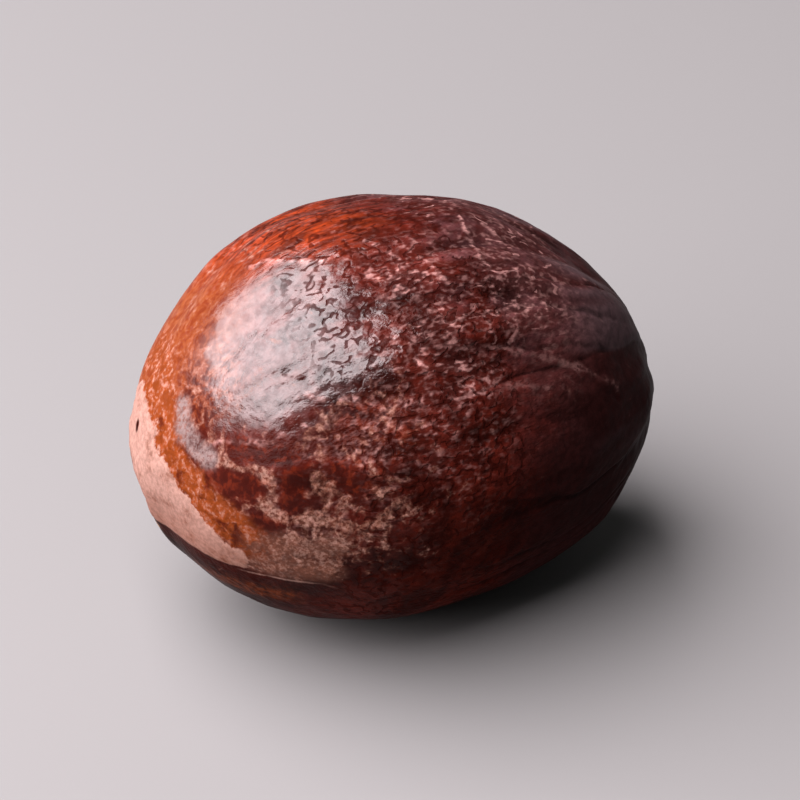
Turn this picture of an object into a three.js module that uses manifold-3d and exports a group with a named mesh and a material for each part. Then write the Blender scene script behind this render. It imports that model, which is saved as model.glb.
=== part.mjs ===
// A whole nutmeg in its shell, lying on its side as it rests on a table.
// The seed is one stout ovoid solid. Its broad end, towards -X, carries the hilum, a raised oval scar with
// a small pit, and its narrower end, towards +X, carries the chalaza, a low blunt tip. Shallow furrows left
// by the lobes of the mace run from end to end, and a narrow raphe joins the two scars.
// Millimetres, +Z up. The origin lies on the table, under the middle of the seed.
import * as THREE from "three";
import { mergeVertices } from "three/addons/utils/BufferGeometryUtils.js";
import Module from "manifold-3d";

// Driving dimensions of the ovoid.
const LENGTH = 30.6; // along the seed's own axis, without the scars
const WIDTH = 24.0; // across the axis, level with the table
const HEIGHT = 23.6; // across the axis, upwards
const TAPER = 0.087; // how much wider the broad half is than the narrow half, as a share
const BROAD_FULLNESS = 1.85; // superellipse exponent at the broad end, where 2 is a plain ellipse
const TIP_FULLNESS = 2.24; // the same at the narrow end
const BEND = 0.35; // how far the seed's middle bows towards the front
const ARCH = 1.37; // how far the seed's middle stands above its two ends

// How it lies.
const REST_PITCH = 3.2; // degrees that the broad end is lifted
const REST_ROLL = 0; // degrees that the seed is turned about its own axis
const FLAT_SINK = 0.36; // thickness of the cap that the resting flat takes off

// The mesh.
const ICOSAHEDRON_DETAIL = 19; // 20 * (19 + 1)^2 triangles
const NOISE_SEED = 11;

// Furrows of the mace. Angles turn about the seed's axis: 0 is the top and 90 the front.
const FURROW_COUNT = 9;
const FURROW_START_ANGLE = 12;
const FURROW_DEPTH = 0.3;
const FURROW_HALF_WIDTH = 1.05;
const FURROW_SWAY = 9; // degrees that a furrow wanders to either side
const FURROW_SPREAD = 0.45; // how unevenly they are spaced, as a share of the spacing
const FURROW_ENDS = [0.1, 0.84]; // where they fade, from 0 at the tip to 1 at the broad end

// The raphe, a groove between two lips, from the hilum to the chalaza.
const RAPHE_ANGLE = 230;
const RAPHE_SWAY = 7;
const RAPHE_DEPTH = 0.35;
const RAPHE_HALF_WIDTH = 0.6;
const RAPHE_LIP_HEIGHT = 0.22;
const RAPHE_LIP_OFFSET = 1.5; // from the groove's middle to each lip's crest

// The hilum, tilted from the broad pole towards the underside.
const HILUM_TILT = 22; // degrees off the pole
const HILUM_ANGLE = 228; // degrees about the axis
const HILUM_RADIUS = 3.5;
const HILUM_RIM_HEIGHT = 0.2;
const HILUM_RIM_HALF_WIDTH = 0.8;
const HILUM_DISH_DEPTH = 0.25;
const HILUM_LOBES = 5; // waves along the rim
const HILUM_LOBE_SHARE = 0.09; // their height, as a share of the radius
const PIT_RADIUS = 0.85;
const PIT_DEPTH = 0.75;
const PIT_OFFSET = 0.9; // from the scar's middle

// The chalaza, a low tip with short ribs around it.
const TIP_HEIGHT = 0.45;
const TIP_RADIUS = 2.1;
const TIP_RIB_COUNT = 11;
const TIP_RIB_HEIGHT = 0.13;
const TIP_RIB_FROM = 2.4;
const TIP_RIB_TO = 6.5;

// Broad unevenness of the whole shell: waves of these lengths in random directions, as heights in millimetres.
const LUMP_WAVES = [
  { length: 19, height: 0.08, count: 4 },
  { length: 9.5, height: 0.05, count: 6 },
  { length: 4.6, height: 0.02, count: 8 },
];

const { PI, abs, acos, atan2, cos, exp, hypot, max, min, sin } = Math;
const DEGREE = PI / 180;

// A repeatable source of random numbers from 0 to 1 (mulberry32).
function randomSource(seed) {
  let state = seed;
  return () => {
    state = (state + 0x6d2b79f5) | 0;
    let t = Math.imul(state ^ (state >>> 15), 1 | state);
    t = (t + Math.imul(t ^ (t >>> 7), 61 | t)) ^ t;
    return ((t ^ (t >>> 14)) >>> 0) / 4294967296;
  };
}

const random = randomSource(NOISE_SEED);
const randomSigned = () => 2 * random() - 1;

// 0 below from, 1 above to, and smooth between them.
function smoothStep(from, to, x) {
  const t = min(1, max(0, (x - from) / (to - from)));
  return t * t * (3 - 2 * t);
}

// A bell of height 1 and the given half width.
const bell = (distance, halfWidth) => exp(-((distance / halfWidth) ** 2));

// The smallest signed difference between two angles.
const turnBetween = (a, b) => atan2(sin(a - b), cos(a - b));

// The unit vector that is tilted from an end of the axis, towards an angle about it.
function directionAt(end, tilt, angle) {
  return new THREE.Vector3(
    end * cos(tilt),
    -sin(tilt) * sin(angle),
    sin(tilt) * cos(angle),
  );
}

// The bare ovoid's surface in the given direction of the unit sphere.
function ovoidPoint(unit) {
  const across = hypot(unit.y, unit.z);
  const share = (1 - unit.x) / 2; // 0 at the tip and 1 at the broad end
  const fullness = TIP_FULLNESS + (BROAD_FULLNESS - TIP_FULLNESS) * share;
  const reach =
    (abs(unit.x) ** fullness + across ** fullness) ** (-1 / fullness);
  const along = unit.x * reach;
  const girth = reach * (1 - TAPER * along);
  return new THREE.Vector3(
    (LENGTH / 2) * along,
    (WIDTH / 2) * unit.y * girth - BEND * (1 - along * along),
    (HEIGHT / 2) * unit.z * girth + ARCH * (1 - along * along),
  );
}

function ovoidNormal(unit) {
  return new THREE.Vector3(
    unit.x / LENGTH,
    unit.y / WIDTH,
    unit.z / HEIGHT,
  ).normalize();
}

const furrows = Array.from({ length: FURROW_COUNT }, (_, i) => {
  const spacing = 360 / FURROW_COUNT;
  return {
    angle:
      (FURROW_START_ANGLE + spacing * (i + FURROW_SPREAD * randomSigned())) *
      DEGREE,
    sway: FURROW_SWAY * DEGREE * randomSigned(),
    phase: 2 * PI * random(),
    depth: FURROW_DEPTH * (0.55 + 0.75 * random()),
    halfWidth: FURROW_HALF_WIDTH * (0.75 + 0.6 * random()),
    from: FURROW_ENDS[0] + 0.12 * random(),
    to: FURROW_ENDS[1] - 0.16 * random(),
  };
});

// How far the mace's furrows sink the shell, by where it is: station from 0 at the tip to 1 at the broad
// end, the angle about the axis, and the girth's radius there.
function furrowDepth(station, angle, radius) {
  return furrows.reduce((sunk, furrow) => {
    const middle =
      furrow.angle + furrow.sway * sin(2 * PI * station + furrow.phase);
    const aside = turnBetween(angle, middle) * radius;
    const fade =
      smoothStep(furrow.from - 0.1, furrow.from + 0.1, station) *
      (1 - smoothStep(furrow.to - 0.1, furrow.to + 0.1, station));
    return sunk + furrow.depth * fade * bell(aside, furrow.halfWidth);
  }, 0);
}

function rapheHeight(station, angle, radius) {
  const middle = (RAPHE_ANGLE + RAPHE_SWAY * sin(2 * PI * station)) * DEGREE;
  const aside = turnBetween(angle, middle) * radius;
  const fade =
    smoothStep(0.03, 0.16, station) * (1 - smoothStep(0.8, 0.93, station));
  const lips =
    bell(aside - RAPHE_LIP_OFFSET, RAPHE_HALF_WIDTH) +
    bell(aside + RAPHE_LIP_OFFSET, RAPHE_HALF_WIDTH);
  const groove = bell(aside, RAPHE_HALF_WIDTH);
  return fade * (RAPHE_LIP_HEIGHT * lips - RAPHE_DEPTH * groove);
}

const hilumMiddle = ovoidPoint(
  directionAt(-1, HILUM_TILT * DEGREE, HILUM_ANGLE * DEGREE),
);

function hilumHeight(point) {
  const up = point.z - hilumMiddle.z;
  const side = point.y - hilumMiddle.y;
  const turn = atan2(up, side);
  const distance =
    point.distanceTo(hilumMiddle) /
    (1 + HILUM_LOBE_SHARE * sin(HILUM_LOBES * turn + 1));
  const rim =
    HILUM_RIM_HEIGHT * bell(distance - HILUM_RADIUS, HILUM_RIM_HALF_WIDTH);
  const dish =
    HILUM_DISH_DEPTH * (1 - smoothStep(0, HILUM_RADIUS, distance));
  const pit = PIT_DEPTH * bell(hypot(side, up - PIT_OFFSET), PIT_RADIUS);
  return point.x < 0 ? rim - dish - pit : 0;
}

function tipHeight(point, angle) {
  if (point.x < 0) return 0;
  const distance = hypot(point.y, point.z);
  const knob = TIP_HEIGHT * bell(distance, TIP_RADIUS);
  const ribs =
    TIP_RIB_HEIGHT *
    smoothStep(TIP_RIB_FROM - 1, TIP_RIB_FROM, distance) *
    (1 - smoothStep(TIP_RIB_FROM, TIP_RIB_TO, distance)) *
    sin(TIP_RIB_COUNT * angle);
  return knob + ribs;
}

const lumpWaves = LUMP_WAVES.flatMap(({ length, height, count }) =>
  Array.from({ length: count }, () => ({
    wave: new THREE.Vector3(randomSigned(), randomSigned(), randomSigned())
      .normalize()
      .multiplyScalar((2 * PI) / length),
    height,
    phase: 2 * PI * random(),
  })),
);

function lumpHeight(point) {
  return lumpWaves.reduce(
    (raised, { wave, height, phase }) =>
      raised + height * sin(wave.dot(point) + phase),
    0,
  );
}

// The finished shell's surface in the given direction of the unit sphere.
function shellPoint(unit) {
  const point = ovoidPoint(unit);
  const station = acos(unit.x) / PI;
  const angle = atan2(-unit.y, unit.z);
  const radius = hypot(point.y, point.z);
  const raised =
    lumpHeight(point) +
    rapheHeight(station, angle, radius) +
    hilumHeight(point) +
    tipHeight(point, angle) -
    furrowDepth(station, angle, radius);
  return point.addScaledVector(ovoidNormal(unit), raised);
}

// The whole seed, not yet laid on the table: an even ball whose points are moved out to the shell.
function seedGeometry() {
  const ball = new THREE.IcosahedronGeometry(1, ICOSAHEDRON_DETAIL);
  ball.deleteAttribute("normal");
  ball.deleteAttribute("uv");
  const geometry = mergeVertices(ball);
  const positions = geometry.getAttribute("position");
  const unit = new THREE.Vector3();
  for (let i = 0; i < positions.count; i += 1) {
    unit.fromBufferAttribute(positions, i).normalize();
    const clamped = unit.set(min(1, max(-1, unit.x)), unit.y, unit.z);
    positions.setXYZ(i, ...shellPoint(clamped).toArray());
  }
  return geometry;
}

const wasm = await Module();
wasm.setup();

function solidFrom(geometry) {
  return new wasm.Manifold(
    new wasm.Mesh({
      numProp: 3,
      vertProperties: new Float32Array(geometry.getAttribute("position").array),
      triVerts: new Uint32Array(geometry.index.array),
    }),
  );
}

function geometryFrom(solid) {
  const { vertProperties, triVerts } = solid.getMesh();
  return new THREE.BufferGeometry()
    .setAttribute("position", new THREE.BufferAttribute(vertProperties, 3))
    .setIndex(new THREE.BufferAttribute(triVerts, 1));
}

// Turns the seed to its resting attitude and sets it FLAT_SINK below the table, over the origin.
function layDown(geometry) {
  geometry
    .rotateX(REST_ROLL * DEGREE)
    .rotateY(REST_PITCH * DEGREE)
    .computeBoundingBox();
  const middle = geometry.boundingBox.getCenter(new THREE.Vector3());
  const lowest = geometry.boundingBox.min.z;
  return geometry.translate(-middle.x, -middle.y, -lowest - FLAT_SINK);
}

// Takes off what is below the table, which leaves the small flat that the seed rests on.
function cutFlat(geometry) {
  const block = new THREE.BoxGeometry(LENGTH, WIDTH, HEIGHT);
  block.deleteAttribute("normal");
  block.deleteAttribute("uv");
  const below = mergeVertices(block).translate(0, 0, -HEIGHT / 2);
  return geometryFrom(solidFrom(geometry).subtract(solidFrom(below)));
}

const shellMaterial = new THREE.MeshStandardMaterial({
  color: 0x6e3020,
  roughness: 0.4,
  metalness: 0,
});

const nutmeg = new THREE.Mesh(
  cutFlat(layDown(seedGeometry())),
  shellMaterial,
);
nutmeg.name = "nutmeg";

const part = new THREE.Group();
part.add(nutmeg);

export default part;
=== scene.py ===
"""A whole nutmeg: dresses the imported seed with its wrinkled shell, its lime film and its dust."""

import math
from functools import cached_property

import bmesh
import bpy
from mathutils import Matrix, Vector


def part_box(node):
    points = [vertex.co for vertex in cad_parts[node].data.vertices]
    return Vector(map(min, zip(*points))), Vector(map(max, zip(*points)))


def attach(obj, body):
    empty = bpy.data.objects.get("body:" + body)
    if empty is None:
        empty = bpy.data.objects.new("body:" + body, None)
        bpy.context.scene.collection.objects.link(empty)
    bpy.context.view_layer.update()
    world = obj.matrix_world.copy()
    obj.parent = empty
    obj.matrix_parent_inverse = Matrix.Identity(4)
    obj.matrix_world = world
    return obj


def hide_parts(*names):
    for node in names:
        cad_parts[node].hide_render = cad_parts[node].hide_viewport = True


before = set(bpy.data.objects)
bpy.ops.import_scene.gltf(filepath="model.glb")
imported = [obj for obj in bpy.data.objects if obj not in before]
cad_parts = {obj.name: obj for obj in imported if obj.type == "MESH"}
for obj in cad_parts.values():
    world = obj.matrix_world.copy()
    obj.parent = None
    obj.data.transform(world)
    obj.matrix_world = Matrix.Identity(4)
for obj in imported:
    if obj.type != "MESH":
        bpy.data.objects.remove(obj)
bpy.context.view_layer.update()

bl_info = {
    "name": "Whole Nutmeg",
    "version": (1, 0, 0),
    "blender": (4, 5, 0),
    "location": "3D View > Sidebar > Nutmeg",
    "description": "Builds a nutmeg's shell, with its wrinkles, dust and lime film, around its packed solid",
    "category": "Object",
}

MM = 0.001
SEED_NODE = "nutmeg"
SEED_LOW, SEED_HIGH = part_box(SEED_NODE)
SEED_MIDDLE = (SEED_LOW + SEED_HIGH) / 2
SEED_SIZE = SEED_HIGH - SEED_LOW
SEED_RADIUS = 11.0  # about its mean across the axis, in mm
REST_PITCH = math.radians(3.2)  # how far the broad end is lifted
MERGE_DISTANCE = 0.02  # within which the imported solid's loose corners are joined, in mm
REFINEMENT = 2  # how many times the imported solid's mesh is subdivided
SINK = 0.10  # how far the shell lies inside the solid before its relief is added, in mm

# Distances between the features of the shell's patterns, in millimetres.
BORDER_SIZE = 3.2
CLOUD_SIZE = 3.0
VEIN_SIZE = 3.0
SWELL_SIZE = 2.4
FOLD_SIZE = 2.4
MAUVE_SIZE = 1.7
ROW_SIZE = 1.7
PATCH_SIZE = 1.4
SCRATCH_SIZE = 1.1
TEAR_SIZE = 0.9
CRUMB_SIZE = 0.9
CREASE_SIZE = 0.70
POWDER_SIZE = 0.5
FIBRE_SIZE = 0.42
SPOT_SIZE = 0.28
FINE_POWDER_SIZE = 0.22
FIBRE_STRETCH = 0.16  # what a step along the fibres counts for, as a share of one across them

# Heights and depths of the relief that no setting holds, in millimetres.
SWELL_HEIGHT = 0.12
ROW_HEIGHT = 0.12
VEIN_DEPTH = 0.11
CRACK_DEPTH = 0.10
FURROW_FOOT_DEPTH = 0.10
RIDGE_HEIGHT = 0.05
PEBBLE_HEIGHT = 0.15
FIBRE_HEIGHT = 0.03
CREASE_DEPTH = 0.05

# How rough the shell is where it is bare, bare on the narrow half, and dusty or limed.
BARE_ROUGHNESS = 0.30
NARROW_ROUGHNESS = 0.42
DULL_ROUGHNESS = 0.62

# Places on the shell, in millimetres from the seed's middle, along its own axis: -X is the broad end,
# +X the tip, -Y the front and +Z the top.
HILUM = (-14.1, 3.8, -4.3)
PIT = (-14.0, 3.8, -3.4)
WARM_PATCH = (-8.5, 7.0, 8.0)
SMOOTH_SHOULDER = (-9.4, -3.8, 7.9)
WRINKLED_MIDDLE = (-2.5, -9.1, 7.6)
BLUSH = (-12.9, -0.8, 5.4)
GLOW = (-6.6, -9.2, 4.8)
DOTTED_PLACE = (-9.2, -9.0, 2.2)
FILM_SPOT = (-15.1, 2.2, 0.7)

# Planes that bound the lime film and the thick wax, each a point and the way inwards.
FILM_FRONT_EDGE = ((-15.0, -1.8, 0.2), (0.0, 0.515, -0.857))
FILM_TOP_EDGE = ((-15.0, 2.0, 3.1), (0.0, -0.199, -0.980))
FILM_FOOT_EDGE = ((-12.0, -5.0, -4.4), (0.0, 0.050, 0.999))
FILM_SIDE_EDGE = ((-11.8, -7.0, 0.0), (-0.80, 0.60, 0.0))
FILM_BACK_EDGE = ((-14.0, 4.2, 0.0), (0.0, -1.0, 0.1))
WAX_EDGE = ((-12.4, -1.3, 5.7), (0.493, -0.735, 0.449))

# Glossy pools that stay clear of dust beside the film, and the dust between and below them.
POOLS = (
    ((-12.8, -5.5, 3.1), (-10.8, -7.9, 3.4)),
    ((-10.6, -8.3, 2.9), (-11.0, -8.6, 0.9)),
    ((-13.9, -4.9, 1.0), (-12.3, -7.1, 1.5)),
    ((-8.7, -9.5, 3.0), (-7.9, -10.3, 2.3)),
    ((-12.3, -7.5, -0.6), (-11.8, -8.0, -0.7)),
)
DUST_ARMS = (
    ((-13.5, -5.1, 2.0), (-12.1, -7.1, 2.3), (-11.9, -7.7, 1.1), (-12.1, -7.6, 0.1), (-9.0, -10.1, 0.1)),
    ((-9.0, -10.1, 0.1), (-7.9, -10.8, -0.1), (-5.8, -11.6, 1.5)),
    ((-13.9, -5.1, 0.3), (-12.8, -6.7, 1.1)),
    ((-11.0, -7.5, 3.7), (-9.8, -7.9, 4.5), (-7.4, -8.0, 6.3)),
    ((-10.2, -8.7, 2.7), (-9.6, -9.2, 2.1), (-8.9, -9.7, 2.0)),
)
DUST_PATCHES = (
    ((-12.2, -7.3, -2.2), (-10.6, -8.9, -1.8), (-9.0, -10.1, -1.6)),
    ((-12.0, -7.0, -3.4), (-10.4, -8.6, -3.3), (-9.2, -9.5, -3.3)),
)

# Marks round the film: a grey smear and amber blobs above it, a pale line at its foot, and below it a warm
# streak of painted reflected light.
SMEAR = ((-13.9, -0.9, 3.6), (-14.4, -1.7, 2.5), (-13.8, -4.4, 1.9))
AMBER_BLOBS = (
    ((-14.8, -0.6, 1.7), (-14.7, -2.3, 1.0), (-14.5, -3.6, 0.2)),
    ((-14.2, -4.7, -0.3), (-13.3, -6.3, -0.8), (-12.6, -7.1, -1.5)),
)
FOOT_LINE = ((-12.6, -5.7, -4.6), (-11.5, -7.2, -4.4), (-9.1, -9.1, -4.4), (-7.2, -9.8, -5.0))
# The warm streak under the film is painted reflected light.
BOUNCE_LIGHT_STREAK = ((-12.6, -2.1, -6.6), (-11.7, -5.1, -6.4), (-10.3, -7.2, -6.1))

# The crack, the long furrow and the raised ridges; the ridges and the furrow's lips are painted pale as
# highlights.
CRACK = ((-10.0, -5.4, 7.1), (-9.4, -6.3, 6.9), (-8.6, -7.1, 6.7), (-7.0, -7.9, 6.9))
FURROW_LIP = ((-2.8, -8.1, 8.6), (2.0, -8.2, 7.4), (6.0, -8.4, 5.6), (9.2, -8.1, 3.4))
FURROW_FOOT = ((-2.6, -8.6, 8.1), (2.1, -8.6, 6.8), (5.9, -9.0, 5.1), (9.0, -8.5, 2.9))
SECOND_LIP = ((-0.4, -9.9, 6.5), (2.1, -9.4, 5.9), (4.7, -9.5, 5.0))
PALE_RIDGES = (
    ((-9.7, -6.6, 6.2), (-8.2, -7.6, 6.3), (-6.9, -8.2, 6.3)),
    ((-13.6, -3.8, 2.8), (-12.8, -5.2, 3.2), (-11.9, -6.4, 3.6), (-9.7, -7.5, 4.9)),
    ((-8.7, 2.0, 9.5), (-6.6, 0.0, 10.5), (-4.3, -1.8, 10.8)),
    ((-3.0, -0.6, 11.3), (-2.2, -2.0, 11.0), (-1.6, -3.6, 10.8)),
    ((-0.9, -2.9, 11.0), (-0.6, -3.9, 10.9), (-0.4, -5.0, 10.5)),
    ((2.9, -0.2, 11.3), (2.7, -1.9, 10.9), (2.5, -4.1, 10.5)),
    ((4.2, -0.7, 10.9), (4.7, -1.8, 10.3)),
    ((6.2, -0.7, 9.9), (7.4, -1.1, 9.1)),
)

# Masks that the shell's mesh carries for its material.
MESH_MASKS = (
    "pools", "lively", "calm", "topside", "pale_ridges", "dotted",
    "dust_arms", "dust_patch", "amber_blobs", "smear", "bounce_light_streak",
)

# The inputs of the shell's geometry tree, and the settings that fill them.
SHELL_SIZES = {
    "Wrinkle size": "wrinkle_size",
    "Wrinkle depth": "wrinkle_depth",
    "Fold height": "fold_height",
    "Film thickness": "film_thickness",
    "Scar roughness": "scar_roughness",
}

# The stage, in metres. A light is its name, the way to it as the camera sees it (to the right, up and back),
# its width and height, its share of the key power, and its colour.
FLOOR_RADIUS = 1.2
FLOOR_SIDES = 96
FLOOR_ROUGHNESS = 0.7
LIGHT_DISTANCE = 0.30
LIGHTS = (
    ("window", (-0.57, 0.60, 0.52), (0.50, 0.43), 1.0, (1.0, 0.92, 0.95)),
    ("fill", (-0.95, -0.10, 0.30), (0.25, 0.25), 0.02, (1.0, 0.94, 0.92)),
)
SKY_COLOUR = (1.0, 0.99, 0.98, 1)
SKY_STRENGTH = 0.07


def colour_property(name, description, value):
    return bpy.props.FloatVectorProperty(
        name=name, description=description, subtype="COLOR", size=4, min=0, max=1, default=(*value, 1)
    )


def length_property(name, description, value):
    return bpy.props.FloatProperty(name=name, description=description, min=0, default=value)


class NutmegShellSettings(bpy.types.PropertyGroup):
    """Sizes in millimetres and colours of the shell."""

    wrinkle_size: length_property("Wrinkle size", "Distance between the shell's wrinkles, in mm", 0.95)
    wrinkle_depth: length_property("Wrinkle depth", "Depth of the wrinkles, in mm", 0.26)
    pebble_size: length_property("Pebble size", "Width of the shell's leathery pebbles, in mm", 0.38)
    fold_height: length_property("Fold height", "Height of the soft folds at the tip, in mm", 0.30)
    film_thickness: length_property("Film thickness", "Thickness of the lime film, in mm", 0.06)
    scar_roughness: length_property("Scar roughness", "Height of the crumbly grain on the hilum, in mm", 0.30)
    red_brown: colour_property("Red brown", "The bare shell", (0.062, 0.0070, 0.0038))
    dark_brown: colour_property("Dark brown", "The shell in its darker clouds", (0.026, 0.0034, 0.0022))
    warm_orange: colour_property("Warm orange", "The shell where it is thin and warm", (0.245, 0.031, 0.0072))
    golden: colour_property("Golden", "The warm top close to the broad end", (0.240, 0.064, 0.0200))
    dusk_brown: colour_property("Dusk brown", "The dull brown of the narrow half", (0.038, 0.0108, 0.0105))
    mauve: colour_property("Mauve", "The pale clouds on the narrow half", (0.095, 0.036, 0.038))
    # A painted sheen on the crests of the folds at the narrow end.
    sheen: colour_property("Sheen", "The grey bloom on the folds of the narrow end", (0.080, 0.048, 0.052))
    # A painted highlight on the shoulder, under the wax's own reflection.
    haze: colour_property("Highlight", "The pink haze in the wax of the shoulder", (0.34, 0.200, 0.200))
    amber: colour_property("Amber", "The bright rim along the film's edge", (0.185, 0.037, 0.0080))
    lime: colour_property("Lime", "The lime film", (0.365, 0.210, 0.170))
    dust: colour_property("Dust", "The tan dust beside the film", (0.160, 0.064, 0.042))
    # The pale flecks: rubbed tops of the pillows that are partly painted glints, and the painted highlight on
    # the ridges.
    fleck_and_glint: colour_property("Fleck and glint", "The rubbed tops of the shell's pillows", (0.54, 0.280, 0.255))
    smear: colour_property("Smear", "The grey smear beside the amber", (0.190, 0.135, 0.128))
    scar: colour_property("Scar", "The pale star of the hilum", (0.46, 0.29, 0.17))
    pit: colour_property("Pit", "The dark crumbs in the middle of the hilum", (0.035, 0.028, 0.024))


class NutmegStageSettings(bpy.types.PropertyGroup):
    """The camera, the light and the floor."""

    azimuth: bpy.props.FloatProperty(
        name="Azimuth", description="Turn of the camera about the seed", subtype="ANGLE",
        default=math.radians(-27),
    )
    elevation: bpy.props.FloatProperty(
        name="Elevation", description="Height of the camera above the horizon", subtype="ANGLE",
        default=math.radians(33),
    )
    lens: bpy.props.FloatProperty(name="Lens", description="Focal length, in mm", unit="CAMERA", default=200)
    frame_share: bpy.props.FloatProperty(
        name="Frame share", description="Share of the frame's width that the seed takes", subtype="FACTOR",
        min=0.1, max=1, default=0.70,
    )
    key_power: bpy.props.FloatProperty(
        name="Key power", description="Power of the large window, in W", unit="POWER", default=5.2
    )
    floor: colour_property("Floor", "The pale floor", (0.22, 0.219, 0.218))


class Fields:
    """Writes maths into a shader tree or a geometry tree, alike in both, and hands back sockets."""

    def __init__(self, tree):
        self.tree = tree

    def node(self, kind, **settings):
        made = self.tree.nodes.new(kind)
        for name, value in settings.items():
            setattr(made, name, value)
        return made

    def feed(self, socket, value):
        if isinstance(value, bpy.types.NodeSocket):
            self.tree.links.new(value, socket)
        else:
            socket.default_value = value

    def math(self, operation, *values, clamp=False):
        made = self.node("ShaderNodeMath", operation=operation, use_clamp=clamp)
        for socket, value in zip(made.inputs, values):
            self.feed(socket, value)
        return made.outputs[0]

    def vector(self, operation, *values):
        made = self.node("ShaderNodeVectorMath", operation=operation)
        for socket, value in zip(made.inputs, values):
            self.feed(socket, value)
        gives_number = operation in ("LENGTH", "DOT_PRODUCT")
        return made.outputs["Value" if gives_number else "Vector"]

    def scaled(self, vector, factor):
        made = self.node("ShaderNodeVectorMath", operation="SCALE")
        self.feed(made.inputs[0], vector)
        self.feed(made.inputs["Scale"], factor)
        return made.outputs["Vector"]

    def parts(self, vector):
        made = self.node("ShaderNodeSeparateXYZ")
        self.feed(made.inputs[0], vector)
        return made.outputs

    def joined(self, x, y, z):
        made = self.node("ShaderNodeCombineXYZ")
        for socket, value in zip(made.inputs, (x, y, z)):
            self.feed(socket, value)
        return made.outputs[0]

    def step(self, value, low, high, to_low=0.0, to_high=1.0):
        """to_low below low, to_high above high, and smooth between them."""
        made = self.node("ShaderNodeMapRange", interpolation_type="SMOOTHSTEP")
        for socket, number in zip(made.inputs, (value, low, high, to_low, to_high)):
            self.feed(socket, number)
        return made.outputs[0]

    def noise(self, vector, size, detail=2.0, roughness=0.5, colour=False):
        """Noise from 0 to 1, whose largest features are size apart."""
        made = self.node("ShaderNodeTexNoise", noise_dimensions="3D")
        self.feed(made.inputs["Vector"], vector)
        self.feed(made.inputs["Scale"], self.math("DIVIDE", 1.0, size))
        self.feed(made.inputs["Detail"], detail)
        self.feed(made.inputs["Roughness"], roughness)
        return made.outputs[1 if colour else 0]

    def mixed(self, factor, a, b):
        """A number between a and b."""
        made = self.node("ShaderNodeMix", data_type="FLOAT")
        for index, value in ((0, factor), (2, a), (3, b)):
            self.feed(made.inputs[index], value)
        return made.outputs[0]

    def tinted(self, factor, a, b, blend="MIX"):
        """A colour between a and b."""
        made = self.node("ShaderNodeMix", data_type="RGBA", blend_type=blend)
        for index, value in ((0, factor), (6, a), (7, b)):
            self.feed(made.inputs[index], value)
        return made.outputs[2]

    def shaded(self, colour, light):
        """A colour that is light times as bright."""
        return self.tinted(1.0, colour, self.joined(light, light, light), "MULTIPLY")


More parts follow.
